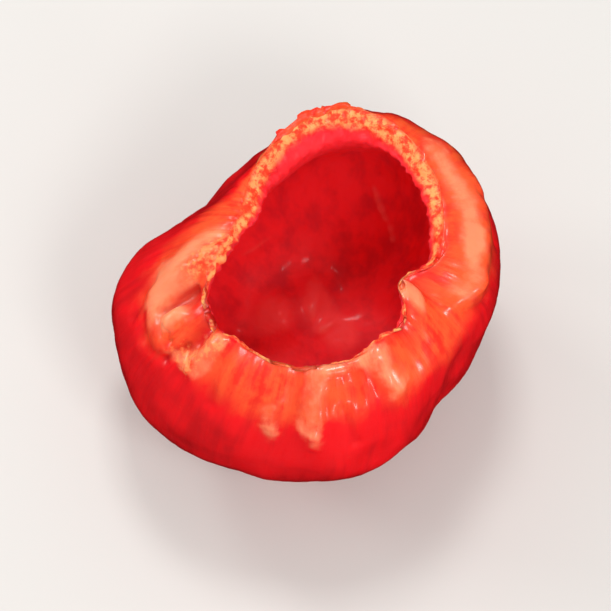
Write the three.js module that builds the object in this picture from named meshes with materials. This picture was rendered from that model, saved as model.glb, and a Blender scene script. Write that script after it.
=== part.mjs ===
// A cored piquante pepper, pickled: one hollow fruit wall that stands on its blossom end with its mouth up.
// Millimetres, +Z up. The origin is on the surface that it rests on, under the middle of its box. The wall
// starts as a turned shape. Every point of it is then moved by a formula of its angle round the fruit and
// its place on the profile: lobes, the dents and the bent rim that pickling leaves, skin folds and ribs.

import * as THREE from "three";

// Driving dimensions of the turned shape. The skin leaves the foot at a slant, stands upright at the belly
// and comes over the shoulder to the lip. Pulls and reaches say how full the curves in between are.
const belly = { radius: 13.9, height: 13.2, lowPull: 0.6, lowRise: 1.2, highRise: 5.5 };
const lip = { radius: 9.3, height: 25.2, shoulderReach: 3.1, shoulderDrop: 0.5 };
const cut = { width: 1.0, drop: 1.3, uneven: 0.6, widestAt: 80 };
const wall = { side: 2.15, floor: 2.3, rimReach: 2.2, rimDrop: 1.4, rimTall: 6 };
const foot = { radius: 4.3, dimpleRadius: 2.1, dimpleDepth: 1.3 };

// Rows of faces on each stretch of the profile, and columns round the fruit
const rows = { dimple: 2, foot: 2, lowerSkin: 12, upperSkin: 15, cut: 3, upperInside: 9, lowerInside: 9 };
const columns = 96;

// Lobes: how far the plan leaves a circle, as shares of its radius, and where each swelling points, in
// degrees. The foot is round, and the lobes are full from lobedFrom mm up.
const bodyLobes = [
  { count: 2, share: 0.03, angle: 48 },
  { count: 3, share: 0.022, angle: 55 },
  { count: 5, share: 0.008, angle: 10 },
];
const lobedFrom = 9;

// The mouth's middle is off the axis, in mm. From bendFrom mm up, the wall leans over to it.
const mouthShift = { x: 0.8, y: 0.1 };
const bendFrom = 11;

// Places where the whole wall is bent in, or out where the depth is negative: angle and spread in degrees,
// height and tallness in mm, depth in mm, and how far the rim is lifted there. The middle of the floor
// stays in its place.
const dents = [
  { angle: 140, spread: 32, height: 18, tallness: 12, depth: 2.9, lift: 0 },
  { angle: 172, spread: 20, height: 26, tallness: 6, depth: 2.3, lift: 0.5 },
  { angle: 336, spread: 8, height: 26, tallness: 3.5, depth: 2.2, lift: 0.2 },
  { angle: 60, spread: 24, height: 8, tallness: 7, depth: 0.7, lift: 0 },
  { angle: 300, spread: 20, height: 6, tallness: 6, depth: 0.6, lift: 0 },
  { angle: 78, spread: 28, height: 26, tallness: 6, depth: -0.8, lift: 0 },
  { angle: 200, spread: 26, height: 14, tallness: 9, depth: -1.0, lift: 0 },
  { angle: 10, spread: 22, height: 15, tallness: 8, depth: -0.4, lift: 0 },
  { angle: 300, spread: 22, height: 26.5, tallness: 4, depth: 0.5, lift: 0 },
  { angle: 98, spread: 34, height: 27, tallness: 5, depth: -1.0, lift: 0 },
  { angle: 148, spread: 11, height: 15, tallness: 9, depth: 0.9, lift: 0 },
  { angle: 171, spread: 12, height: 15, tallness: 9, depth: -0.8, lift: 0 },
  { angle: 322, spread: 15, height: 13, tallness: 8, depth: 0.9, lift: 0 },
  { angle: 232, spread: 16, height: 12, tallness: 8, depth: 0.4, lift: 0 },
  { angle: 46, spread: 12, height: 19, tallness: 6, depth: -0.4, lift: 0 },
];
const stillRadius = 3;

// At the back the wall has no shoulder: it is tucked in right under the rim, at a turn of so many mm, and
// comes out again between fadeFrom and goneBy.
const tuck = { angle: 93, spread: 27, depth: 2.1, turn: 1.2, fadeFrom: 2.5, goneBy: 13 };

// The rim's height, in mm, as waves round the mouth
const rimWaves = [
  { count: 1, height: 0.3, angle: 60 },
  { count: 3, height: 0.25, angle: 75 },
  { count: 5, height: 0.12, angle: 20 },
];

// Folds in the skin that run down from the rim, ridges where the depth is negative: angle and lean in
// degrees and degrees a mm, width, depth and length in mm
const folds = [
  { angle: 188, lean: 0.5, width: 1.6, depth: -0.6, length: 8 },
  { angle: 207, lean: -2.0, width: 0.8, depth: 1.1, length: 7 },
  { angle: 219, lean: 0.5, width: 0.8, depth: 0.9, length: 8 },
  { angle: 246, lean: 1.0, width: 1.0, depth: 0.4, length: 9 },
  { angle: 263, lean: 0.2, width: 0.8, depth: 0.5, length: 11 },
  { angle: 288, lean: 0.5, width: 1.0, depth: 0.6, length: 9 },
  { angle: 299, lean: 0.5, width: 1.3, depth: -0.4, length: 6 },
  { angle: 314, lean: -1.0, width: 0.9, depth: 0.6, length: 6 },
  { angle: 336, lean: 0, width: 1.1, depth: 0.5, length: 6 },
];
const smallFolds = { count: 22, width: 0.7, depth: 0.22, length: 4 };

// How much of a fold's depth is left at the inner edge of the cut
const foldAcrossCut = 0.4;

// Ribs inside the wall, where the cut core was held, and the furrows down the skin over them
const ribs = { angles: [28, 158, 268], width: 1.4, height: 1.1, endBelowLip: 1, fade: 3 };
const furrows = { spread: 11, depth: 0.5, height: 8, tallness: 8 };

// Lumps of the core that are left on the fruit's floor, and the heights between which they fade out
const coreStubs = [
  { x: -2.6, y: 2.4, spread: 2.5, height: 1.3 },
  { x: 0.2, y: 1.8, spread: 3.2, height: 0.9 },
  { x: 0.8, y: 4.6, spread: 1.4, height: 0.7 },
  { x: 2.8, y: 1.4, spread: 2.2, height: 0.8 },
];
const stubsFadeFrom = 4;
const stubsGoneBy = 9;

// Shrivelled skin: waves round the fruit, each with how it leans with height, and its depth in mm. It
// starts above the foot and is full from shrivelFull mm up.
const shrivel = [
  { count: 9, lean: 0.16, depth: 0.1 },
  { count: 14, lean: -0.22, depth: 0.09 },
  { count: 19, lean: 0.12, depth: 0.07 },
];
const shrivelFrom = 2;
const shrivelFull = 8;

// How ragged the knife left the cut face, in mm, and the creases round the blossom end
const ragged = 0.16;
const blossomCreases = { count: 7, depth: 0.35, height: 2.6, tallness: 2.6 };

const radians = Math.PI / 180;

// A number between 0 and 1 that looks random and is the same each time
const scatter = (k) => {
  const s = Math.sin(k * 12.9898) * 43758.5453;
  return s - Math.floor(s);
};

const ease = (from, to, x) => {
  const t = Math.min(1, Math.max(0, (x - from) / (to - from)));
  return t * t * (3 - 2 * t);
};

// A smooth hump round one angle, 1 at its top, that closes on itself round the fruit
const hump = (angle, middle, spread) => Math.exp((Math.cos(angle - middle) - 1) / (spread * spread));

const bell = (x, spread) => Math.exp((-x * x) / (spread * spread));

const total = (list, value) => list.reduce((sum, item) => sum + value(item), 0);

// The stretches of the turned profile: from the middle of the blossom end, up the skin, over the cut, down
// inside
function stretches() {
  const at = (r, z) => new THREE.Vector2(r, z);
  const insideRadius = belly.radius - wall.side;
  const dimpleMiddle = at(0, foot.dimpleDepth);
  const dimpleEdge = at(foot.dimpleRadius, 0);
  const footEdge = at(foot.radius, 0);
  const lowSkin = [at(belly.radius * belly.lowPull, belly.lowRise), at(belly.radius, belly.height / 2)];
  const bellyOut = at(belly.radius, belly.height);
  const highSkin = [
    at(belly.radius, belly.height + belly.highRise),
    at(lip.radius + lip.shoulderReach, lip.height - lip.shoulderDrop),
  ];
  const lipOut = at(lip.radius, lip.height);
  const cutCrown = at(lip.radius - cut.width * 0.65, lip.height - cut.drop * 0.2);
  const lipIn = at(lip.radius - cut.width, lip.height - cut.drop);
  const highInside = [
    at(lipIn.x + wall.rimReach, lipIn.y - wall.rimDrop),
    at(insideRadius, belly.height + belly.highRise * 0.87),
  ];
  const bellyIn = at(insideRadius, belly.height);
  const lowInside = [at(insideRadius, belly.height * 0.55), at(insideRadius * 0.68, wall.floor)];
  const floorMiddle = at(0, wall.floor);
  return [
    ["foot", rows.dimple, new THREE.LineCurve(dimpleMiddle, dimpleEdge)],
    ["foot", rows.foot, new THREE.LineCurve(dimpleEdge, footEdge)],
    ["skin", rows.lowerSkin, new THREE.CubicBezierCurve(footEdge, ...lowSkin, bellyOut)],
    ["skin", rows.upperSkin, new THREE.CubicBezierCurve(bellyOut, ...highSkin, lipOut)],
    ["cut", rows.cut, new THREE.QuadraticBezierCurve(lipOut, cutCrown, lipIn)],
    ["inside", rows.upperInside, new THREE.CubicBezierCurve(lipIn, ...highInside, bellyIn)],
    ["inside", rows.lowerInside, new THREE.CubicBezierCurve(bellyIn, ...lowInside, floorMiddle)],
  ];
}

// The points of the profile. Each has its place, the way out of the wall, its distance down the wall from
// the cut, and how far through the wall the cut has gone: 0 on the skin and 1 at the cut's inner edge.
function profile() {
  const rimTop = lip.height - cut.drop;
  const drawn = stretches();
  const ofPart = (name) => drawn.filter(([part]) => part === name);
  const lengthOf = (name) => total(ofPart(name), ([, , curve]) => curve.getLength());
  const rimAt = lengthOf("foot") + lengthOf("skin");
  const insideAt = rimAt + lengthOf("cut");
  const points = [];
  let along = 0;
  for (const [part, count, curve] of drawn) {
    const length = curve.getLength();
    for (let i = points.length ? 1 : 0; i <= count; i++) {
      const share = i / count;
      const { x: r, y: z } = curve.getPointAt(share);
      const tangent = curve.getTangentAt(share);
      const underRim = ease(rimTop - wall.rimTall, rimTop, z);
      const throughWall = { foot: 0, skin: 0, cut: share, inside: underRim }[part];
      const here = along + share * length;
      const down = Math.max(rimAt - here, here - insideAt, 0);
      points.push({ part, r, z, outR: tangent.y, outZ: -tangent.x, down, throughWall });
    }
    along += length;
  }
  return points;
}

// How far the plan is from a circle at this angle and height, as a factor
function lobed(angle, z) {
  const share = total(bodyLobes, (l) => l.share * Math.cos(l.count * (angle - l.angle * radians)));
  return 1 + share * ease(0, lobedFrom, z);
}

// How far the whole wall is bent in, in mm
function bentIn(angle, { r, z }) {
  const near = (d) => hump(angle, d.angle * radians, d.spread * radians) * bell(z - d.height, d.tallness);
  return total(dents, (d) => d.depth * near(d)) * ease(0, stillRadius, r);
}

// How far the wall is tucked in under the rim, in mm
function tucked(angle, { down }) {
  const reach = (1 - Math.exp(-down / tuck.turn)) * (1 - ease(tuck.fadeFrom, tuck.goneBy, down));
  return tuck.depth * reach * hump(angle, tuck.angle * radians, tuck.spread * radians);
}

// How far the rim is up or down from its mean height, in mm
function rimLift(angle) {
  const waves = total(rimWaves, (w) => w.height * Math.cos(w.count * (angle - w.angle * radians)));
  return waves + total(dents, (d) => d.lift * hump(angle, d.angle * radians, d.spread * radians));
}

// How deep one fold is, in mm, at this distance down the skin from the rim
function fold(f, angle, down) {
  const middle = (f.angle + f.lean * Math.min(down, f.length)) * radians;
  return f.depth * hump(angle, middle, f.width / lip.radius) * (1 - ease(f.length / 4, f.length, down));
}

// How deep all the folds are there
function folded(angle, down) {
  let depth = total(folds, (f) => fold(f, angle, down));
  for (let k = 0; k < smallFolds.count; k++) {
    const size = 0.5 + scatter(k + 50);
    const small = {
      angle: (k + 0.6 * scatter(k)) * (360 / smallFolds.count),
      lean: 0,
      width: smallFolds.width,
      depth: smallFolds.depth * size,
      length: smallFolds.length * size,
    };
    depth += fold(small, angle, down);
  }
  return depth;
}

// How deep the furrows, the shrivelling and the blossom end's creases are, in mm
function weathered(angle, z) {
  const overRibs = total(ribs.angles, (rib) => hump(angle, rib * radians, furrows.spread * radians));
  const furrow = furrows.depth * overRibs * bell(z - furrows.height, furrows.tallness);
  const waves = total(shrivel, (w) => w.depth * Math.sin(w.count * (angle + w.lean * Math.sin(z / 5))));
  const patches = 0.6 + 0.4 * Math.sin(2 * angle + z / 4);
  const wrinkles = waves * patches * ease(shrivelFrom, shrivelFull, z);
  const gathered = 0.5 + 0.5 * Math.cos(blossomCreases.count * angle + Math.sin(2 * angle));
  const low = bell(z - blossomCreases.height, blossomCreases.tallness) * ease(0, 1, z);
  return furrow + wrinkles + blossomCreases.depth * gathered * low;
}

// How high the ribs stand above the inside of the wall, in mm
function ribbed(angle, { r, z }) {
  const top = lip.height - ribs.endBelowLip;
  const along = ease(wall.floor, wall.floor + ribs.fade, z) * ease(top, top - ribs.fade, z);
  const across = total(ribs.angles, (rib) => hump(angle, rib * radians, ribs.width / (r + 0.5)));
  return ribs.height * along * across;
}

// How high the rest of the core stands on the floor, in mm
function stubbed(angle, { r, z }) {
  const away = (stub) => Math.hypot(r * Math.cos(angle) - stub.x, r * Math.sin(angle) - stub.y);
  const lumps = total(coreStubs, (stub) => stub.height * bell(away(stub), stub.spread));
  return lumps * (1 - ease(stubsFadeFrom, stubsGoneBy, z));
}

// Where a point of the profile goes at an angle round the fruit
function moved(point, angle) {
  const nearMouth = ease(bendFrom, lip.height, point.z);
  let push = 0;
  let lift = rimLift(angle) * nearMouth;
  if (point.part === "skin") {
    push = -folded(angle, point.down) - weathered(angle, point.z);
  }
  if (point.part === "cut") {
    push = -(folded(angle, 0) + weathered(angle, point.z)) * (1 - (1 - foldAcrossCut) * point.throughWall);
    lift += ragged * Math.sin(17 * angle + 3 * point.r) * Math.cos(11 * angle - point.z);
  }
  if (point.part === "inside") {
    push = ribbed(angle, point);
    lift += stubbed(angle, point) - foldAcrossCut * folded(angle, 0) * point.throughWall;
  }
  const thicker = cut.width * cut.uneven * Math.cos(angle - cut.widestAt * radians) * point.throughWall;
  const bent = bentIn(angle, point) + tucked(angle, point) + thicker;
  const r = point.r * lobed(angle, point.z) - bent + push * point.outR;
  return [
    r * Math.cos(angle) + mouthShift.x * nearMouth,
    r * Math.sin(angle) + mouthShift.y * nearMouth,
    point.z + push * point.outZ + lift,
  ];
}

function pepperGeometry() {
  const points = profile();
  const turned = points.map((point) => new THREE.Vector2(point.r, point.z));
  const geometry = new THREE.LatheGeometry(turned, columns);
  const place = geometry.getAttribute("position");
  for (let column = 0; column <= columns; column++) {
    const angle = ((column % columns) / columns) * 2 * Math.PI;
    points.forEach((point, row) => place.setXYZ(column * points.length + row, ...moved(point, angle)));
  }
  geometry.computeBoundingBox();
  const middle = geometry.boundingBox.getCenter(new THREE.Vector3());
  geometry.translate(-middle.x, -middle.y, 0);
  geometry.computeVertexNormals();
  return geometry;
}

const flesh = new THREE.MeshStandardMaterial({ color: 0xd81a12, roughness: 0.22, metalness: 0 });

const pepper = new THREE.Mesh(pepperGeometry(), flesh);
pepper.name = "pepper";

const group = new THREE.Group();
group.add(pepper);

export default group;
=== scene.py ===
# %% [markdown]
# A cored piquante pepper
#
# This lesson dresses one small pickled pepper. The real one is a hollow fruit wall, about 28 mm across. Its
# stalk and core were cut out, so it stands on its blossom end with a ragged mouth at the top. It grew as
# one piece, so the whole look is one mesh with one wet, fleshy material.
#
# The packed model comes first, as a frame that says where the fruit stands and how big it is. The lines
# below load it and keep its box, whose middle the finished pepper is moved over.

# %% Load the frame
import math
from types import SimpleNamespace as Facts

import bpy
import numpy as np
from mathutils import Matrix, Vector, kdtree, noise


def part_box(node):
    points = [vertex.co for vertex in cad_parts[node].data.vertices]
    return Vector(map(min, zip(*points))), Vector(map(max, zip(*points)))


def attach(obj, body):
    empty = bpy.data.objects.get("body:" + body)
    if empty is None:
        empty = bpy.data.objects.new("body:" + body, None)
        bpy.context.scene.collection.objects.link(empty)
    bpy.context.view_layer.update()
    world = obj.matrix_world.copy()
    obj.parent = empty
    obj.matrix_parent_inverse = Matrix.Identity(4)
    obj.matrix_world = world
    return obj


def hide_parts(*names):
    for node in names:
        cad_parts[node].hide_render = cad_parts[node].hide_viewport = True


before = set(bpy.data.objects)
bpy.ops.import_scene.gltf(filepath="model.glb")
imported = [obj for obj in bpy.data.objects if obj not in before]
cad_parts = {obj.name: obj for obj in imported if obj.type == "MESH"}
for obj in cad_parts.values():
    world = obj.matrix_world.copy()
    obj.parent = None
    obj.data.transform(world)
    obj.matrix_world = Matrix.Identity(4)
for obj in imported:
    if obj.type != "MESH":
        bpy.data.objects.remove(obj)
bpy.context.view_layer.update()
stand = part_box("pepper")

# %% [markdown]
# The measures of the fruit
#
# All measures are in millimetres and degrees, the way they would be read off the fruit with callipers. The
# turned shape comes first: the height and width of the belly, the lip where the knife went round, and the
# wall. After it come the things that make a pepper of it: lobes, dents, folds, ribs and shrivelled skin.
# Each is a named list, so that one dent can be moved without touching the rest.

# %% The turned shape
belly = Facts(radius=13.9, height=13.2, low_pull=0.6, low_rise=1.2, high_rise=5.5)
lip = Facts(radius=9.3, height=25.2, shoulder_reach=3.1, shoulder_drop=0.5)
cut = Facts(width=1.0, drop=1.3, crown_in=0.65, crown_drop=0.2, uneven=0.6, widest_at=80)
foot = Facts(radius=4.3, dimple_radius=2.1, dimple_depth=1.3)

# The wall's thickness at the side and at the floor, and the shares that place the control points inside
wall = Facts(side=2.15, floor=2.3, high_pull=0.87, low_pull=0.55, floor_pull=0.68)

# Under the lip the inside turns outwards by this reach and drop. The crumbs of the cut reach this far down.
rim = Facts(reach=2.2, drop=1.4, tall=6)

# Rows of faces along each curve of the profile, and columns round the fruit
ROWS = Facts(dimple=4, foot=4, lower_skin=40, upper_skin=76, cut=16, upper_inside=30, lower_inside=28)
COLUMNS = 432

# %% What growing and pickling did to it
# Lobes: how many, how far they swell as a share of the radius, and where one points. They are full by this
# height.
LOBES = [(2, 0.03, 48), (3, 0.022, 55), (5, 0.008, 10)]
LOBES_FULL_BY = 9

# How far the mouth leans aside, and the height that the leaning starts from
MOUTH_SHIFT = (0.8, 0.1)
BEND_FROM = 11

# Dents, or bulges where the depth is negative: angle, spread, height, tallness, depth, and how far the rim
# is lifted there
DENTS = [
    (140, 32, 18, 12, 2.9, 0.0),
    (172, 20, 26, 6, 2.3, 0.5),
    (336, 8, 26, 3.5, 2.2, 0.2),
    (60, 24, 8, 7, 0.7, 0.0),
    (300, 20, 6, 6, 0.6, 0.0),
    (78, 28, 26, 6, -0.8, 0.0),
    (200, 26, 14, 9, -1.0, 0.0),
    (10, 22, 15, 8, -0.4, 0.0),
    (300, 22, 26.5, 4, 0.5, 0.0),
    (98, 34, 27, 5, -1.0, 0.0),
    (148, 11, 15, 9, 0.9, 0.0),
    (171, 12, 15, 9, -0.8, 0.0),
    (322, 15, 13, 8, 0.9, 0.0),
    (232, 16, 12, 8, 0.4, 0.0),
    (46, 12, 19, 6, -0.4, 0.0),
]

# Nearer to the axis than this, nothing is bent or roughened, so that the poles stay smooth
STILL_RADIUS = 3

# At the back the wall has no shoulder: it is tucked in right under the rim
tuck = Facts(angle=93, spread=27, depth=2.1, turn=1.2, fade_from=2.5, gone_by=13)

# Waves of the rim's height: how many, how high, and where one points
RIM_WAVES = [(1, 0.3, 60), (3, 0.25, 75), (5, 0.12, 20)]

# Folds that run down from the rim, or ridges where the depth is negative: angle, lean in degrees a mm,
# width, depth, length
FOLDS = [
    (188, 0.5, 1.6, -0.6, 8),
    (207, -2.0, 0.8, 1.1, 7),
    (219, 0.5, 0.8, 0.9, 8),
    (246, 1.0, 1.0, 0.4, 9),
    (263, 0.2, 0.8, 0.5, 11),
    (288, 0.5, 1.0, 0.6, 9),
    (299, 0.5, 1.3, -0.4, 6),
    (314, -1.0, 0.9, 0.6, 6),
    (336, 0.0, 1.1, 0.5, 6),
]

# Small folds between them: each strays from its even place by up to a share of a step, and its size is
# scaled by a number between the smallest and one more
SMALL_FOLDS = Facts(count=22, width=0.7, depth=0.22, length=4, smallest=0.5, strays=0.6)

# The share of a fold that is left at the inner edge of the cut
FOLD_ACROSS_CUT = 0.4

# Ribs stand on the inside of the wall, and a shallow furrow runs down the skin over each of them
ribs = Facts(angles=(28, 158, 268), width=1.4, height=1.1, end_below_lip=1, fade=3)
furrows = Facts(spread=11, depth=0.5, height=8, tallness=8)

# What is left of the core on the floor: x, y, spread and height of each lump
CORE_STUBS = [(-2.6, 2.4, 2.5, 1.3), (0.2, 1.8, 3.2, 0.9), (0.8, 4.6, 1.4, 0.7), (2.8, 1.4, 2.2, 0.8)]
STUBS_FADE_FROM, STUBS_GONE_BY = 4, 9

# Shrivelled skin: waves round the fruit, how each sways with height, and its depth. The waves come in
# between the first two heights. The last two say how slowly they sway, and how tall their patches are.
SHRIVEL = [(9, 0.16, 0.1), (14, -0.22, 0.09), (19, 0.12, 0.07)]
SHRIVEL_FROM, SHRIVEL_FULL = 2, 8
SHRIVEL_SWAY, SHRIVEL_PATCH = 5, 4

# Creases gather round the blossom scar
blossom_creases = Facts(count=7, depth=0.35, height=2.6, tallness=2.6)

# The knife left the cut ragged: two sets of waves round it, whose product has this height
ragged = Facts(height=0.16, waves=17, cross_waves=11, slant=3)
print(len(DENTS), "dents and", len(FOLDS), "folds, besides", SMALL_FOLDS.count, "small ones")

# %% [markdown]
# Soft lines on the skin
#
# The small things near the mouth are creases, ridges, torn places and films of brine. All of them are long
# and thin, so one kind of list serves for all: a soft line, drawn on the skin as if it were unrolled. Each
# line has the angle and the distance down from the rim of its two ends, then its width, and then its depth
# or its strength.

# %% Creases, torn flesh, films of brine and veins
# Creases in the skin, or ridges where the depth is negative
MARKS = [
    (202, 1.2, 200, 4.8, 0.35, 0.5),
    (203, 4.4, 208, 4.2, 0.25, 0.3),
    (208, 4.2, 209, 2.8, 0.25, 0.3),
    (206, 3.2, 205, 4.0, 0.7, -0.6),
    (203, 5.0, 211, 4.6, 0.3, 0.3),
    (211, 4.6, 212, 3.0, 0.3, 0.3),
    (193, 6.8, 203, 7.4, 0.6, 0.15),
    (203, 7.4, 214, 6.0, 0.5, 0.2),
    (214, 6.0, 217, 3.6, 0.35, 0.3),
    (187, 5.6, 194, 8.4, 0.4, 0.2),
    (226, 0.8, 222, 4.8, 0.7, -0.5),
    (232, 2.0, 235, 6.0, 0.4, 0.3),
    (22, 3.7, 10, 8.0, 0.35, 0.16),
    (24, 4.0, 352, 4.4, 1.5, -0.45),
    (352, 4.6, 338, 3.8, 0.9, -0.5),
    (340, 5.4, 350, 7.4, 0.45, 0.25),
    (255, 4.0, 256, 6.4, 0.9, -0.25),
    (256, 6.4, 257, 7.8, 0.6, -0.15),
    (268, 1.0, 270, 6.2, 0.9, -0.3),
    (270, 6.2, 271, 7.8, 0.6, -0.15),
    (280, 4.0, 283, 8.0, 0.5, 0.25),
    (274, 0.7, 290, 0.7, 0.9, -0.5),
    (298, 0.8, 300, 3.6, 0.9, -0.35),
]

# How far the lines wander to either side, how fine that wandering is, and how far down the inside they end
WANDER = 0.3
WANDER_SCALE = 0.6
MARKS_END_INSIDE = 3

# The small knob beside the nick in the rim
NICK_KNOB = [(333, 0.5, 331, 1.3, 0.9, -0.5)]

# Where the flesh is torn and crumbly
TORN = [(226, 1.0, 222, 4.4, 1.2, 0.6), (212, 4.6, 220, 4.4, 1.0, 0.4), (178, -0.6, 192, 0.9, 1.1, 1.1)]
TORN_DEPTH = 0.22

# Where a film of brine lies smooth and shows one broad light
WET = [
    (273, 0.5, 291, 0.5, 0.9, 1.0),
    (333, -0.4, 331, 1.0, 1.0, 1.0),
    (341, 3.9, 334, 3.7, 1.0, 1.0),
    (206, 3.0, 204, 3.9, 0.8, 0.9),
    (298, 0.8, 300, 3.4, 0.9, 0.8),
    (355, 3.4, 8, 2.4, 1.0, 0.8),
    (192, 3.2, 197, 3.6, 1.0, 0.7),
]

# The raised veins inside, where a distance down from the rim is a negative one. Their pale pink is a painted
# highlight.
VEINS = [
    (63, -16.0, 57, -18.0, 0.28, 0.8),
    (57, -18.0, 47, -19.9, 0.25, 0.9),
    (101, -20.8, 128, -21.2, 0.2, 0.6),
]
VEIN_HEIGHT = 0.3

# Where the pulp on the floor is lighter, partly in its own colour and partly as a painted pool of light, and
# the flecks on it, whose pale colour is a painted highlight, listed as the lumps of core are
PULP_SPOTS = [(-2.9, 2.6, 1.9, 1.2), (1.0, 3.6, 1.3, 1.0), (2.5, 1.2, 1.7, 1.1), (0.6, 5.2, 0.8, 0.7)]
FLECKS = [
    (0.4, 3.0, 0.4, 0.3),
    (0.9, 3.4, 0.3, 0.25),
    (0.8, 2.6, 0.25, 0.2),
    (1.5, 1.3, 0.4, 0.3),
    (2.1, 1.7, 0.3, 0.25),
]
FLECK_HEIGHT = 0.3
print(len(MARKS), "marks,", len(TORN), "torn places and", len(WET), "films of brine")

# %% [markdown]
# The profile
#
# A turned shape is one line, drawn from the axis out and back to the axis. Here it is seven curves, end to
# end: the dimple of the blossom scar, the flat ring that the fruit rests on, the skin below and above the
# belly, the cut face, and the inside down to the middle of the floor. Bezier curves are used because a
# fruit has no straight stretches. Each curve is read off at even steps along its length, so that the faces
# come out even.

# %% Curves read off at even steps
PARTS = Facts(foot=0, skin=1, cut=2, inside=3)
CURVE_SAMPLES = 801


def ease(start, end, x):
    """0 before start, 1 after end, and a soft slope between them."""
    t = np.clip((x - start) / (end - start), 0, 1)
    return t * t * (3 - 2 * t)


def bezier(controls, shares):
    """The curve that its control points pull into shape, at each share of its parameter."""
    layers = [np.outer(np.ones_like(shares), c) for c in controls]
    while len(layers) > 1:
        layers = [a * (1 - shares)[:, None] + b * shares[:, None] for a, b in zip(layers, layers[1:])]
    return layers[0]


def even_steps(controls, count):
    """count + 1 points at even steps along the curve, the unit tangent at each, and the curve's length."""
    shares = np.linspace(0, 1, CURVE_SAMPLES)
    curve = bezier(controls, shares)
    along = np.r_[0, np.cumsum(np.linalg.norm(np.diff(curve, axis=0), axis=1))]
    steps = np.linspace(0, along[-1], count + 1)
    at = np.interp(steps, along, shares)
    points = bezier(controls, at)
    nudge = 1e-4
    tangents = bezier(controls, np.clip(at + nudge, 0, 1)) - bezier(controls, np.clip(at - nudge, 0, 1))
    return points, tangents / np.linalg.norm(tangents, axis=1)[:, None], along[-1]


# %% The whole profile
def stretches():
    """The curves of the profile in order, each with the part that it draws and its rows of faces."""
    inside_radius = belly.radius - wall.side
    foot_edge = (foot.radius, 0)
    belly_out, belly_in = (belly.radius, belly.height), (inside_radius, belly.height)
    lip_out, lip_in = (lip.radius, lip.height), (lip.radius - cut.width, lip.height - cut.drop)
    low_skin = [(belly.radius * belly.low_pull, belly.low_rise), (belly.radius, belly.height / 2)]
    high_skin = [
        (belly.radius, belly.height + belly.high_rise),
        (lip.radius + lip.shoulder_reach, lip.height - lip.shoulder_drop),
    ]
    cut_crown = (lip.radius - cut.width * cut.crown_in, lip.height - cut.drop * cut.crown_drop)
    high_inside = [
        (lip_in[0] + rim.reach, lip_in[1] - rim.drop),
        (inside_radius, belly.height + belly.high_rise * wall.high_pull),
    ]
    low_inside = [
        (inside_radius, belly.height * wall.low_pull),
        (inside_radius * wall.floor_pull, wall.floor),
    ]
    return [
        (PARTS.foot, ROWS.dimple, [(0, foot.dimple_depth), (foot.dimple_radius, 0)]),
        (PARTS.foot, ROWS.foot, [(foot.dimple_radius, 0), foot_edge]),
        (PARTS.skin, ROWS.lower_skin, [foot_edge, *low_skin, belly_out]),
        (PARTS.skin, ROWS.upper_skin, [belly_out, *high_skin, lip_out]),
        (PARTS.cut, ROWS.cut, [lip_out, cut_crown, lip_in]),
        (PARTS.inside, ROWS.upper_inside, [lip_in, *high_inside, belly_in]),
        (PARTS.inside, ROWS.lower_inside, [belly_in, *low_inside, (0, wall.floor)]),
    ]


def draw_profile():
    """Every point of the profile: its place, the way out of the wall, its part, its distance along the
    profile, and how far through the wall the cut has gone."""
    columns = []
    travelled = 0
    for part, count, controls in stretches():
        points, tangents, length = even_steps([np.array(c, float) for c in controls], count)
        share = np.linspace(0, 1, count + 1)
        rim_top = lip.height - cut.drop
        through = {
            PARTS.cut: share,
            PARTS.inside: ease(rim_top - rim.tall, rim_top, points[:, 1]),
        }.get(part, 0 * share)
        along = travelled + share * length
        rows = np.c_[points, tangents[:, 1], -tangents[:, 0], 0 * share + part, along, through]
        columns.append(rows if not columns else rows[1:])
        travelled += length
    r, z, out_r, out_z, part, along, through = np.vstack(columns).T
    return Facts(r=r, z=z, out_r=out_r, out_z=out_z, part=part, along=along, through=through)


profile = draw_profile()
print(len(profile.r), "points on the profile, which is", round(profile.along[-1], 1), "mm long")

# %% [markdown]
# Turning the profile
#
# The wire is drawn by hand: a plane is merged into one vertex, which is then pulled out again and again
# along the profile. Spinning that wire a full turn gives the wall. The seam and the two poles are merged,
# and the normals are recalculated, because a spin can leave them facing inwards.

# %% Draw the wire and spin it
# Vertices nearer to each other than this, in mm, are the seam or a pole
MERGED_WITHIN = 0.002


def turned_wall():
    bpy.ops.object.select_all(action="DESELECT")
    bpy.ops.mesh.primitive_plane_add(size=1, location=(0, 0, 0))
    fruit = bpy.context.object
    bpy.ops.object.mode_set(mode="EDIT")
    bpy.ops.mesh.select_all(action="SELECT")
    bpy.ops.mesh.merge(type="CENTER")
    bpy.ops.transform.translate(value=(profile.r[0], 0, profile.z[0]))
    for step_r, step_z in zip(np.diff(profile.r), np.diff(profile.z)):
        bpy.ops.mesh.extrude_vertices_move(TRANSFORM_OT_translate={"value": (step_r, 0, step_z)})
    bpy.ops.mesh.select_all(action="SELECT")
    bpy.ops.mesh.spin(steps=COLUMNS, angle=2 * math.pi, center=(0, 0, 0), axis=(0, 0, 1))
    bpy.ops.mesh.select_all(action="SELECT")
    bpy.ops.mesh.remove_doubles(threshold=MERGED_WITHIN)
    bpy.ops.mesh.normals_make_consistent(inside=False)
    bpy.ops.object.mode_set(mode="OBJECT")
    return fruit


fruit = turned_wall()
fruit.name = fruit.data.name = "cored_pepper"
print(len(fruit.data.vertices), "vertices and", len(fruit.data.polygons), "faces in the turned wall")

# %% [markdown]
# Where each vertex came from
#
# Every formula below works on the place that a vertex has on the profile: which part of the fruit it is on,
# and how far it is from the rim. The spin forgets that, so it is found again, as the nearest point of the
# profile.

# %% Find each vertex's place on the profile
def read_vertices(obj):
    places = np.empty(len(obj.data.vertices) * 3, np.float32)
    obj.data.vertices.foreach_get("co", places)
    return places.reshape(-1, 3).astype(float)


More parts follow.
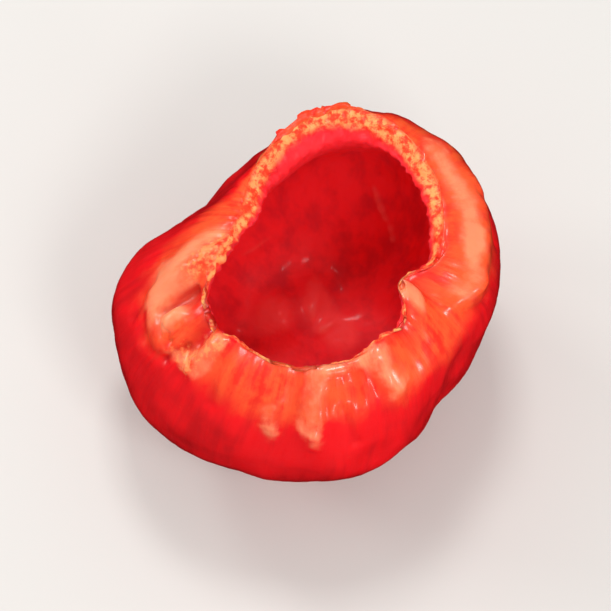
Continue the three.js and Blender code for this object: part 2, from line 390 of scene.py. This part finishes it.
def rows_of(places):
    """The profile point that each vertex was spun from."""
    tree = kdtree.KDTree(len(profile.r))
    for i, (r, z) in enumerate(zip(profile.r, profile.z)):
        tree.insert((r, z, 0), i)
    tree.balance()
    radius = np.hypot(places[:, 0], places[:, 1])
    return np.array([tree.find((r, z, 0))[1] for r, z in zip(radius, places[:, 2])])


places = read_vertices(fruit)
row = rows_of(places)
angle = np.arctan2(places[:, 1], places[:, 0]) % (2 * math.pi)
r, z = profile.r[row], profile.z[row]
part, through = profile.part[row], profile.through[row]
on_skin, on_cut, in_hollow = part == PARTS.skin, part == PARTS.cut, part == PARTS.inside

# The distance before the rim along the profile, which is negative inside, and the distance down from the
# rim on either side of the wall
rim_along = profile.along[profile.part == PARTS.skin].max()
inside_along = profile.along[profile.part == PARTS.cut].max()
before_rim = rim_along - profile.along[row]
down = np.maximum(np.maximum(before_rim, profile.along[row] - inside_along), 0)
print([int(np.sum(part == p)) for p in vars(PARTS).values()], "vertices on the foot, skin, cut and inside")

# %% [markdown]
# From a turned bowl to a fruit
#
# A spun wall is as round as a cup, and no pepper is. It could be sculpted by hand, but a brush stroke can't
# be read or repeated. Here each habit of the fruit is a short formula of the angle round it and the height
# up it, and the formulas are added up. A hump is the shape of one dent seen from above, and a bell is the
# same seen from the side.

# %% Humps and bells
RADIANS = math.pi / 180


def hump(angle, middle, spread):
    """A soft hump round one angle, in radians, that closes on itself round the fruit."""
    return np.exp((np.cos(angle - middle) - 1) / spread**2)


def bell(x, spread):
    return np.exp(-(x**2) / spread**2)


def scatter(k):
    """A number between 0 and 1 that looks random and is the same each time."""
    s = math.sin(k * 12.9898) * 43758.5453
    return s - math.floor(s)


# %% Big forms: lobes, dents and the rim
def lobed(angle, z):
    share = sum(amount * np.cos(count * (angle - RADIANS * points)) for count, amount, points in LOBES)
    return 1 + share * ease(0, LOBES_FULL_BY, z)


def bent_in(angle, r, z):
    depth = sum(
        deep * hump(angle, RADIANS * at, RADIANS * spread) * bell(z - height, tall)
        for at, spread, height, tall, deep, _ in DENTS
    )
    return depth * ease(0, STILL_RADIUS, r)


def tucked(angle, down):
    reach = (1 - np.exp(-down / tuck.turn)) * (1 - ease(tuck.fade_from, tuck.gone_by, down))
    return tuck.depth * reach * hump(angle, RADIANS * tuck.angle, RADIANS * tuck.spread)


def rim_lift(angle):
    waves = sum(high * np.cos(count * (angle - RADIANS * points)) for count, high, points in RIM_WAVES)
    return waves + sum(lift * hump(angle, RADIANS * at, RADIANS * spread) for at, spread, *_, lift in DENTS)


# %% Folds, furrows, wrinkles and ribs
def all_folds():
    """The folds seen in the skin, and the small ones between them, which are spread round the rim."""
    small = []
    for k in range(SMALL_FOLDS.count):
        size = SMALL_FOLDS.smallest + scatter(k + 50)
        turn = (k + SMALL_FOLDS.strays * scatter(k)) * (360 / SMALL_FOLDS.count)
        small.append((turn, 0, SMALL_FOLDS.width, SMALL_FOLDS.depth * size, SMALL_FOLDS.length * size))
    return FOLDS + small


def folded(angle, down):
    depth = 0
    for turn, lean, width, deep, length in all_folds():
        fading = 1 - ease(length / 4, length, down)
        turned = RADIANS * (turn + lean * np.minimum(down, length))
        depth = depth + deep * hump(angle, turned, width / lip.radius) * fading
    return depth


def weathered(angle, z):
    """How deep the furrows, the shrivelled skin and the creases round the blossom scar are."""
    over_ribs = sum(hump(angle, RADIANS * rib, RADIANS * furrows.spread) for rib in ribs.angles)
    furrow = furrows.depth * over_ribs * bell(z - furrows.height, furrows.tallness)
    sway = np.sin(z / SHRIVEL_SWAY)
    waves = sum(deep * np.sin(count * (angle + lean * sway)) for count, lean, deep in SHRIVEL)
    patches = 0.6 + 0.4 * np.sin(2 * angle + z / SHRIVEL_PATCH)
    shrivelled = waves * patches * ease(SHRIVEL_FROM, SHRIVEL_FULL, z)
    gathered = 0.5 + 0.5 * np.cos(blossom_creases.count * angle + np.sin(2 * angle))
    low = bell(z - blossom_creases.height, blossom_creases.tallness) * ease(0, 1, z)
    return furrow + shrivelled + blossom_creases.depth * gathered * low


def ribbed(angle, r, z):
    """How far the ribs stand in from the wall. The half millimetre keeps their spread finite at the axis."""
    top = lip.height - ribs.end_below_lip
    along = ease(wall.floor, wall.floor + ribs.fade, z) * ease(top, top - ribs.fade, z)
    spread = ribs.width / (r + 0.5)
    return sum(ribs.height * along * hump(angle, RADIANS * rib, spread) for rib in ribs.angles)


def stubbed(angle, r, z, stubs):
    x, y = r * np.cos(angle), r * np.sin(angle)
    lumps = sum(high * bell(np.hypot(x - at_x, y - at_y), spread) for at_x, at_y, spread, high in stubs)
    return lumps * (1 - ease(STUBS_FADE_FROM, STUBS_GONE_BY, z))


# %% Move every vertex to where the fruit has it
def grown_places():
    near_mouth = ease(BEND_FROM, lip.height, z)
    folds, weather = folded(angle, down), weathered(angle, z)
    at_rim = folded(angle, 0)
    across_cut = np.cos(ragged.cross_waves * angle - z)
    cut_grain = ragged.height * np.sin(ragged.waves * angle + ragged.slant * r) * across_cut
    push = np.select(
        [on_skin, on_cut, in_hollow],
        [-folds - weather, -(folds + weather) * (1 - (1 - FOLD_ACROSS_CUT) * through), ribbed(angle, r, z)],
        0,
    )
    lift = rim_lift(angle) * near_mouth
    lift = lift + np.select(
        [on_cut, in_hollow],
        [cut_grain, stubbed(angle, r, z, CORE_STUBS) - FOLD_ACROSS_CUT * at_rim * through],
        0,
    )
    thicker = cut.width * cut.uneven * np.cos(angle - RADIANS * cut.widest_at) * through
    bent = bent_in(angle, r, z) + tucked(angle, down) + thicker
    radius = r * lobed(angle, z) - bent + push * profile.out_r[row]
    return np.c_[
        radius * np.cos(angle) + MOUTH_SHIFT[0] * near_mouth,
        radius * np.sin(angle) + MOUTH_SHIFT[1] * near_mouth,
        z + push * profile.out_z[row] + lift,
    ]


def write_vertices(obj, places):
    obj.data.vertices.foreach_set("co", places.astype(np.float32).ravel())
    obj.data.update()


write_vertices(fruit, grown_places())
print("grown to", np.ptp(read_vertices(fruit), axis=0).round(2), "mm")

# %% [markdown]
# The fine relief
#
# Pickling draws water out of the flesh, and the tough skin then lies in hair-thin wrinkles that run from
# the mouth towards the blossom end. They break every highlight into streaks, so they are real geometry here
# and not only shading. Noise makes them: it is read at places that are squeezed along the meridians, so
# that its lumps come out long and thin. Under a film of brine the skin stays smooth. The cut face and the
# torn places get a short, crumbly grain, and the inside gets soft blobs of pulp, the raised veins and the
# flecks.

# %% Noise and soft lines, read at every vertex
def noise_at(places, scale, octaves=1):
    """Smooth noise, about -1 to 1, at each place, with finer and weaker layers added."""
    total, size, strength = 0, scale, 1.0
    for _ in range(octaves):
        total = total + strength * np.array([noise.noise(Vector(p)) for p in places * size])
        size, strength = size * 2.1, strength * 0.5
    return total


# The soft lines of the skin stop inside the mouth, and none is drawn on the underside near the axis
on_rind = (r > lip.radius / 2) & (before_rim > -MARKS_END_INSIDE)


def marked(lines, wander, where=on_rind):
    """How strongly each vertex is marked by soft lines on the unrolled skin, which wander to either side."""
    total = 0
    for from_angle, from_down, to_angle, to_down, width, strength in lines:
        turn = (angle - RADIANS * from_angle + math.pi) % (2 * math.pi) - math.pi
        across, ahead = turn * r + wander, before_rim - from_down
        long_across = ((to_angle - from_angle + 180) % 360 - 180) * RADIANS * r
        long_ahead = to_down - from_down
        share = (across * long_across + ahead * long_ahead) / (long_across**2 + long_ahead**2 + 1e-6)
        share = np.clip(share, 0, 1)
        away = np.hypot(across - share * long_across, ahead - share * long_ahead)
        total = total + strength * bell(away, width) * where
    return total


# %% Wrinkles, crumbs, veins and pulp
# A scale is in repeats a mm and a depth in mm. A stretch below 1 makes the lumps of the noise taller.
wrinkle = Facts(scale=1.05, stretch=0.13, depth=0.13, crease=0.12, crease_scale=0.7)
wrinkles_fade = Facts(least=0.3, deepest_to=3, gone_by=10, patch_scale=0.13, patch_from=-0.3, patch_full=0.5)
swell = Facts(scale=0.16, depth=0.35)
crumb = Facts(scale=1.7, depth=0.24, full_by=0.3)
pulp = Facts(scale=0.42, stretch=0.35, depth=0.2, fine=0.03)

# The relief of the skin comes in between these heights, so that the foot stays flat
SMOOTH_BELOW, ROUGH_ABOVE = 0.5, 4

# Places on a drum as wide as the belly, and as tall as the way along the profile, in mm
grain_places = np.c_[belly.radius * np.cos(angle), belly.radius * np.sin(angle), profile.along[row]]


def wrinkled(grown):
    """How far the skin stands out for its wrinkles and swellings. Near the mouth the wrinkles are deepest."""
    squeezed = grain_places * (1, 1, wrinkle.stretch)
    streaks = noise_at(squeezed, wrinkle.scale, octaves=3)
    creases = -np.abs(noise_at(squeezed + 40, wrinkle.scale * wrinkle.crease_scale, octaves=2))
    swells = noise_at(grown, swell.scale, octaves=2)
    fade = wrinkles_fade
    patches = ease(fade.patch_from, fade.patch_full, noise_at(grown + 7, fade.patch_scale))
    shrunk = fade.least + (1 - fade.least) * patches * (1 - ease(fade.deepest_to, fade.gone_by, down))
    dry = 1 - np.minimum(marked(WET, 0), 1)
    return (wrinkle.depth * streaks + wrinkle.crease * creases) * shrunk * dry + swell.depth * swells


def fine_relief(grown, wander):
    """How far each vertex stands out beyond its grown place, in mm."""
    wrinkles = wrinkled(grown)
    crumbs = noise_at(grown, crumb.scale, octaves=2)
    pulpy = noise_at(grown * (1, 1, pulp.stretch), pulp.scale, octaves=2)
    pulped = (pulp.depth * pulpy + pulp.fine * crumbs) * ease(0, STILL_RADIUS, r)
    marks = marked(MARKS, wander) + marked(NICK_KNOB, 0)
    torn = TORN_DEPTH * marked(TORN, 0) * crumbs
    raised = VEIN_HEIGHT * marked(VEINS, wander, in_hollow) + in_hollow * stubbed(angle, r, z, FLECKS)
    in_cut = ease(0, crumb.full_by, through)
    return torn + raised - marks + np.select(
        [on_skin, on_cut, in_hollow],
        [
            wrinkles * ease(SMOOTH_BELOW, ROUGH_ABOVE, z),
            wrinkles * (1 - in_cut) + crumb.depth * crumbs * in_cut,
            crumb.depth * crumbs * through**3 + pulped * (1 - through),
        ],
        0,
    )


def normals_of(obj):
    directions = np.empty(len(obj.data.vertices) * 3, np.float32)
    obj.data.vertex_normals.foreach_get("vector", directions)
    return directions.reshape(-1, 3).astype(float)


grown = read_vertices(fruit)
wander = WANDER * noise_at(grown, WANDER_SCALE)
relief = fine_relief(grown, wander)
write_vertices(fruit, grown + normals_of(fruit) * relief[:, None])
print("the relief runs from", relief.min().round(2), "to", relief.max().round(2), "mm")

# %% [markdown]
# Into the frame
#
# All the work so far was in millimetres, and the frame counts in metres. The fruit is scaled down and moved
# until the middle of its box is over the middle of the solid's box. No vertex may lie under the floor.

# %% Put the fruit where the frame has it, in metres
places = read_vertices(fruit) / 1000
places[:, 2] = np.maximum(places[:, 2], 0)
middle = (places.max(axis=0) + places.min(axis=0)) / 2
stand_middle = (stand[0] + stand[1]) / 2
places[:, :2] += np.array(stand_middle)[:2] - middle[:2]
write_vertices(fruit, places)
bpy.ops.object.select_all(action="DESELECT")
fruit.select_set(True)
bpy.context.view_layer.objects.active = fruit
bpy.ops.object.shade_smooth()
print("the fruit's box, in mm:", (1000 * places.min(axis=0)).round(2), (1000 * places.max(axis=0)).round(2))

# %% [markdown]
# What the material needs to know
#
# The colour of a pepper changes with the part of the wall that is looked at: red skin, a pale orange cut
# face and a dark red inside. Near the mouth the skin is thin over pale flesh and turns orange. Peach is a
# painted sheen, laid where the lamps' broad highlights fall. Torn places look like the cut, brine lies
# smooth, and the creases get painted shade. Inside, painted shade deepens down the wall, and the pulp is
# lighter, partly in its own colour and partly as a painted pool of light. Veins and flecks are pale with
# painted highlights. The mesh knows all of this already, so it is stored on the vertices as attributes,
# and the material reads them instead of guessing.

# %% Where the skin turns orange, and where a peach sheen is painted
# Soft lines again, whose last number is a strength
ORANGE_ZONES = [
    (158, 1.5, 205, 3.0, 2.6, 1.0),
    (186, 5.2, 202, 6.4, 2.4, 0.55),
    (205, 2.0, 262, 2.6, 2.8, 0.8),
    (262, 3.4, 302, 2.6, 3.4, 0.8),
    (312, 2.6, 336, 3.0, 2.0, 0.8),
    (338, 3.6, 45, 3.0, 3.4, 1.0),
    (0, 1.4, 42, 1.2, 1.6, 0.7),
    (45, 0.8, 150, 0.4, 1.1, 0.9),
]

# Painted sheen: peach where the lamps' broad highlights fall, on the knobs, the ridges, the streaks and the
# front of the rim
PEACH_ZONES = [
    (178, 1.2, 193, 4.6, 1.5, 0.9),
    (190, 4.4, 199, 5.4, 1.6, 0.45),
    (4, 2.4, 36, 1.6, 1.3, 0.85),
    (345, 3.6, 4, 2.8, 1.1, 0.7),
    (297, 0.8, 300, 3.6, 1.0, 0.8),
    (255, 4.4, 256, 6.2, 0.9, 0.5),
    (256, 6.2, 257, 7.8, 0.6, 0.25),
    (268, 0.6, 270, 6.0, 1.0, 0.6),
    (270, 6.0, 271, 7.8, 0.6, 0.25),
    (226, 0.8, 222, 4.4, 0.8, 0.65),
    (220, 5.0, 213, 5.2, 0.6, 0.4),
    (275, 0.3, 290, 0.3, 0.7, 0.8),
    (206, 2.4, 205, 4.0, 0.8, 1.3),
    (196, 1.6, 197, 2.8, 1.0, 0.6),
    (334, -0.5, 331, 0.9, 1.0, 1.3),
]

# How far the zones' edges wander, in mm, and how fine that wandering is
ZONE_WANDER = 0.8
ZONE_WANDER_SCALE = 0.4

# %% Store the attributes
# The colours of the cut face come in and give way to those of the inside at these shares of the way through
# the wall. At the front of the mouth the face is thin, and gives way earlier.
cut_colours = Facts(full_by=0.25, give_way_from=0.6, earlier=0.5, thin_at=270, thin_spread=50)

# Inside, painted shade lies on the wall's dark blotches: none this near the rim, and full this far down, in
# mm
BRIGHT_TO, DARK_BY = 2, 12


def store(name, values):
    kind = "FLOAT_VECTOR" if values.ndim == 2 else "FLOAT"
    attribute = fruit.data.attributes.new(name, kind, "POINT")
    attribute.data.foreach_set("vector" if values.ndim == 2 else "value", values.astype(np.float32).ravel())


def given_way():
    """How far the colours of the cut face have given way to those of the inside."""
    thin = hump(angle, RADIANS * cut_colours.thin_at, RADIANS * cut_colours.thin_spread)
    return ease(cut_colours.give_way_from - cut_colours.earlier * thin, 1, through)


zone_wander = ZONE_WANDER * noise_at(grown + 20, ZONE_WANDER_SCALE, octaves=3)
store("inside", np.select([in_hollow, on_cut], [1.0, given_way()], 0))
store("cut", on_cut * ease(0, cut_colours.full_by, through) * (1 - given_way()))
store("orange", marked(ORANGE_ZONES, zone_wander))
# A painted sheen, peach where the broad highlights fall
store("peach", marked(PEACH_ZONES, zone_wander))
# Painted shade in the creases and folds
store("groove", on_skin * (marked(MARKS, wander) + folded(angle, down)))
store("torn", marked(TORN, wander))
store("wet", marked(WET, 0))
# The pulp on the floor: lighter partly in its own colour and partly as a painted pool of light
store("lump", in_hollow * stubbed(angle, r, z, PULP_SPOTS))
# A painted highlight: pale pink on the veins and flecks
store("pale", marked(VEINS, wander, in_hollow) + in_hollow * stubbed(angle, r, z, FLECKS) / FLECK_HEIGHT)
# Painted shade inside: none near the rim, deepening down the wall
store("bright", in_hollow * (1 - ease(BRIGHT_TO, DARK_BY, -before_rim)))
store("grain", grain_places)
print([a.name for a in fruit.data.attributes if a.data_type in ("FLOAT", "FLOAT_VECTOR")])

# %% [markdown]
# Shader maths as plain sums
#
# A node tree is hard to read when every plus sign is a box. The small class below wraps the output of a
# node, so that ordinary operators add the Math nodes. Colours are mixed by a Mix node, because a Math node
# would turn them grey. One method adds any other node: its settings first, then the value or the link of
# each socket.

# %% Numbers that add their own Math nodes
class Amount:
    """A number that changes over the surface."""

    def __init__(self, finish, socket):
        self.finish, self.socket = finish, socket

    def sum_with(self, operation, *others):
        values = [other.socket if isinstance(other, Amount) else other for other in others]
        return self.finish.node("ShaderNodeMath", {"operation": operation}, dict(enumerate(values)))

    def __add__(self, other):
        return self.sum_with("ADD", self, other)

    def __sub__(self, other):
        return self.sum_with("SUBTRACT", self, other)

    def __rsub__(self, other):
        return self.sum_with("SUBTRACT", other, self)

    def __mul__(self, other):
        return self.sum_with("MULTIPLY", self, other)

    __radd__, __rmul__ = __add__, __mul__

    def eased(self, start, end):
        """0 where this is at start, 1 where it is at end, and soft between them."""
        inputs = {"Value": self, "From Min": start, "From Max": end}
        return self.finish.node("ShaderNodeMapRange", {"interpolation_type": "SMOOTHSTEP"}, inputs)


# %% A material's nodes
class Finish:
    """One material and its Principled shader."""

    def __init__(self, name):
        self.material = bpy.data.materials.new(name)
        self.material.use_nodes = True
        self.tree = self.material.node_tree
        self.shader = self.tree.nodes["Principled BSDF"]

    def node(self, kind, settings=None, inputs=None, output=0):
        made = self.tree.nodes.new(kind)
        for name, value in (settings or {}).items():
            setattr(made, name, value)
        self.fill(made, inputs or {})
        return Amount(self, made.outputs[output])

    def fill(self, made, inputs):
        for name, value in inputs.items():
            value = value.socket if isinstance(value, Amount) else value
            if isinstance(value, bpy.types.NodeSocket):
                self.tree.links.new(value, made.inputs[name])
            else:
                made.inputs[name].default_value = value

    def stored(self, name, vector=False):
        output = "Vector" if vector else "Fac"
        return self.node("ShaderNodeAttribute", {"attribute_name": name}, output=output)

    def noise(self, where, scale, detail, roughness=0.5):
        inputs = {"Vector": where, "Scale": scale, "Detail": detail, "Roughness": roughness}
        return self.node("ShaderNodeTexNoise", inputs=inputs, output="Fac")

    def squeezed(self, where, factors):
        inputs = {0: where, 1: factors}
        return self.node("ShaderNodeVectorMath", {"operation": "MULTIPLY"}, inputs)

    def mixed(self, a, b, factor):
        """Colour a, with colour b where factor is 1. Sockets 6 and 7 of a Mix node are its colours."""
        return self.node("ShaderNodeMix", {"data_type": "RGBA"}, {0: factor, 6: a, 7: b}, output=2)

    def bump(self, height, distance, strength, under=None):
        inputs = {"Height": height, "Distance": distance, "Strength": strength}
        if under:
            inputs["Normal"] = under
        return self.node("ShaderNodeBump", inputs=inputs, output="Normal")


def paint(red, green, blue):
    """A colour as it looks on a screen, 0 to 255, as the linear colour that a shader needs."""
    def linear(c):
        c = c / 255
        return c / 12.92 if c <= 0.04045 else ((c + 0.055) / 1.055) ** 2.4
    return (linear(red), linear(green), linear(blue), 1.0)


# %% [markdown]
# Wet pepper flesh
#
# Pepper skin is a clear, waxy film over red flesh, so it has two layers of gloss: the flesh's own, and a
# coat for the film and the brine on it. Light also goes into the flesh and comes out redder a little
# further on, which subsurface scattering does. The colours are laid one over the other: clouded red, then
# orange near the mouth with a peach painted sheen, painted shade in the grooves, the crumbly cut face, and
# last the inside, with painted shade deeper down, its pulp partly lit by a painted pool of light, and its
# veins and flecks with painted pink highlights. Each border between two colours is broken up by noise,
# because no colour of a fruit ends at a clean line.

# %% The colours, and the grain of the noises
RED = paint(228, 10, 20)
# The deep red is the skin's own darker tone in the clouds, and painted shade in the creases
DEEP_RED = paint(196, 4, 14)
ORANGE = paint(240, 84, 40)
SCARLET = paint(226, 42, 24)
# Peach is a painted sheen for the lamps' broad highlights
PEACH = paint(246, 136, 96)
CUT_PALE = paint(254, 154, 90)
CUT_DEEP = paint(226, 58, 28)
INSIDE_RED = paint(248, 42, 52)
# The dark blotches inside, which are also painted shade deeper down the wall
INSIDE_DARK = paint(216, 34, 48)
# Pulp, lighter partly in its own colour and partly as a painted pool of light
PULP = paint(255, 74, 76)
# A painted highlight on the veins and flecks
VEIN_PINK = paint(248, 104, 96)

# Scales of the noises: repeats in a metre of the object, and repeats in a mm of the stored grain
PER_METRE = Facts(cloud=150, vein=500, crumbs=1700)
PER_MM = Facts(broad=0.3, blotches=0.75, streak=1.1)
MM = 0.001


# %% Lay the colours over each other
def skin_colour(f, cloud, streak, broad, blotches):
    orange, peach, groove = f.stored("orange"), f.stored("peach"), f.stored("groove")
    skin = f.mixed(RED, DEEP_RED, (0.6 * cloud + 0.4 * streak).eased(0.42, 0.66))
    flesh = f.mixed(ORANGE, SCARLET, (0.5 * streak + 0.5 * blotches).eased(0.42, 0.62))
    showing = orange + 1.5 * (broad - 0.5) + 1.1 * (blotches - 0.5) + 0.5 * (streak - 0.5)
    skin = f.mixed(skin, flesh, showing.eased(0.2, 1.0) * orange.eased(0, 0.3))
    # A painted sheen: peach where the lamps' broad highlights fall
    ripe = peach + 1.4 * (blotches - 0.5) + 0.8 * (streak - 0.5)
    skin = f.mixed(skin, PEACH, ripe.eased(0.1, 1.1) * peach.eased(0, 0.4))
    # Painted shade in the creases and folds
    return f.mixed(skin, DEEP_RED, groove.eased(0.25, 0.9) * 0.75)


def hollow_colour(f, vein):
    lump, pale, bright = f.stored("lump"), f.stored("pale"), f.stored("bright")
    # Dark blotches of the wall's tone, laid as painted shade: none near the rim, full deep down
    hollow = f.mixed(INSIDE_RED, INSIDE_DARK, vein.eased(0.38, 0.72) * (1 - bright))
    # Lighter pulp, partly its own colour and partly a painted pool of light
    hollow = f.mixed(hollow, PULP, (lump + vein - 0.5).eased(0.3, 0.9))
    # A painted pink highlight on the veins and flecks
    return f.mixed(hollow, VEIN_PINK, pale.eased(0.2, 1) * 0.6)


def flesh_finish():
    f = Finish("wet_pepper_flesh")
    place = f.node("ShaderNodeTexCoord", output="Object")
    grain = f.stored("grain", vector=True)
    inside, cut_face, torn = f.stored("inside"), f.stored("cut"), f.stored("torn")
    dry = 1 - f.stored("wet").eased(0, 1)
    cloud = f.noise(place, PER_METRE.cloud, detail=3)
    crumbs = f.noise(place, PER_METRE.crumbs, detail=3, roughness=0.65)
    vein = f.noise(f.squeezed(place, (1, 1, 0.3)), PER_METRE.vein, detail=3, roughness=0.6)
    streak = f.noise(f.squeezed(grain, (1, 1, 0.12)), PER_MM.streak, detail=4, roughness=0.6)
    broad = f.noise(f.squeezed(grain, (1, 1, 0.3)), PER_MM.broad, detail=3, roughness=0.55)
    blotches = f.noise(grain, PER_MM.blotches, detail=4, roughness=0.6)

    skin = skin_colour(f, cloud, streak, broad, blotches)
    face = f.mixed(CUT_DEEP, CUT_PALE, (0.7 * crumbs + 0.3 * blotches).eased(0.42, 0.58))
    bare = (torn + 1.6 * (crumbs - 0.5)).eased(0.3, 0.9)
    rind = f.mixed(f.mixed(skin, face, bare * 0.6), face, cut_face)
    crinkle = streak * dry * (1 - inside) + vein * inside
    wrinkles = f.bump(crinkle, 0.2 * MM, strength=0.5)
    f.fill(f.shader, {
        "Base Color": f.mixed(rind, hollow_colour(f, vein), inside),
        "Roughness": 0.3 + 0.2 * crinkle + 0.25 * cut_face + 0.2 * inside,
        "Normal": f.bump(crumbs, 0.1 * MM, strength=0.2, under=wrinkles),
        "IOR": 1.34,
        "Specular IOR Level": 0.35,
        "Subsurface Weight": 0.5,
        "Subsurface Radius": (1.0, 0.2, 0.1),
        "Subsurface Scale": 2.0 * MM,
        "Coat Weight": 0.85 - 0.6 * inside - 0.6 * cut_face,
        "Coat Roughness": 0.16,
        "Coat IOR": 1.33,
    })
    return f.material


fruit.data.materials.append(flesh_finish())
print("the flesh has", len(fruit.data.materials[0].node_tree.nodes), "nodes")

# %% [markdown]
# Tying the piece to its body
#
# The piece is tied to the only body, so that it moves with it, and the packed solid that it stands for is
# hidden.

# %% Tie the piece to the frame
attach(fruit, "root")
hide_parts("pepper")

# %% [markdown]
# The studio
#
# A plain pale floor and a pale room light the fruit softly from all sides. A wet thing also mirrors
# whatever is round it, and a mirrored white room would lie over the red like milk. So neither the room nor
# the floor shows in the reflections. What the skin mirrors is six small soft panels, each placed where its
# reflection makes one of the highlights: on the ridges left and right, at the front of the rim and on the
# shoulders.

# %% The floor
def plain_floor():
    bpy.ops.object.select_all(action="DESELECT")
    bpy.ops.mesh.primitive_plane_add(size=4, location=(0, 0, 0))
    floor = bpy.context.object
    floor.name = "floor"
    f = Finish("pale_paper")
    f.fill(f.shader, {"Base Color": paint(200, 198, 194), "Roughness": 0.7, "Specular IOR Level": 0.2})
    floor.data.materials.append(f.material)
    floor.visible_glossy = False
    return floor


floor = plain_floor()
print("a floor", round(floor.dimensions.x), "m wide")

# %% The lights
# Name, direction from the fruit (azimuth from +X, elevation), distance, width and height in metres, power
# in watts
PANELS = [
    ("left_panel", 168, 26, 0.22, 0.055, 0.045, 0.10),
    ("right_panel", 322, 7, 0.22, 0.045, 0.04, 0.11),
    ("front_panel", 300, 58, 0.25, 0.06, 0.05, 0.17),
    ("back_left_panel", 138, 42, 0.25, 0.055, 0.045, 0.10),
    ("low_front_panel", 286, 7, 0.24, 0.03, 0.04, 0.06),
    ("top_panel", 96, 75, 0.26, 0.05, 0.05, 0.24),
]
FRUIT_MIDDLE = Vector((0, 0, 0.013))
ROOM_LIGHT = 0.82


def toward(azimuth, elevation):
    a, e = math.radians(azimuth), math.radians(elevation)
    return Vector((math.cos(a) * math.cos(e), math.sin(a) * math.cos(e), math.sin(e)))


def panel(name, azimuth, elevation, distance, width, height, watts):
    way = toward(azimuth, elevation)
    bpy.ops.object.light_add(type="AREA", location=FRUIT_MIDDLE + way * distance)
    light = bpy.context.object
    light.name = name
    light.rotation_euler = way.to_track_quat("Z", "Y").to_euler()
    light.data.shape = "RECTANGLE"
    light.data.size, light.data.size_y = width, height
    light.data.energy = watts
    light.visible_camera = False


def pale_room():
    world = bpy.data.worlds.new("pale_room")
    world.use_nodes = True
    background = world.node_tree.nodes["Background"]
    background.inputs["Color"].default_value = (1, 1, 1, 1)
    background.inputs["Strength"].default_value = ROOM_LIGHT
    world.cycles_visibility.glossy = False
    return world


for facts in PANELS:
    panel(*facts)

bpy.context.scene.world = pale_room()
bpy.context.scene.view_settings.view_transform = "Standard"
print(len(PANELS), "panels and a pale room")

# %% [markdown]
# The camera
#
# The photograph looks down into the mouth, from in front and steeply above, from far enough away that near
# and far rim look the same size. A long lens does that. The fruit is small in the photograph, so it is
# framed closer here.

# %% Set up the camera
CAMERA_ELEVATION = 70
CAMERA_DISTANCE = 0.5
FRAME_WIDTH = 0.045


def photo_camera():
    back = toward(-90, CAMERA_ELEVATION)
    bpy.ops.object.camera_add(location=FRUIT_MIDDLE + back * CAMERA_DISTANCE)
    camera = bpy.context.object
    camera.name = "photo_camera"
    camera.rotation_euler = back.to_track_quat("Z", "Y").to_euler()
    camera.data.lens = camera.data.sensor_width * CAMERA_DISTANCE / FRAME_WIDTH
    camera.data.clip_start, camera.data.clip_end = 0.01, 10
    bpy.context.scene.camera = camera
    return camera


camera = photo_camera()
print("a lens of", round(camera.data.lens), "mm")

# %% [markdown]
# Closing
#
# The dressed fruit must not be bigger than the solid that it stands for.
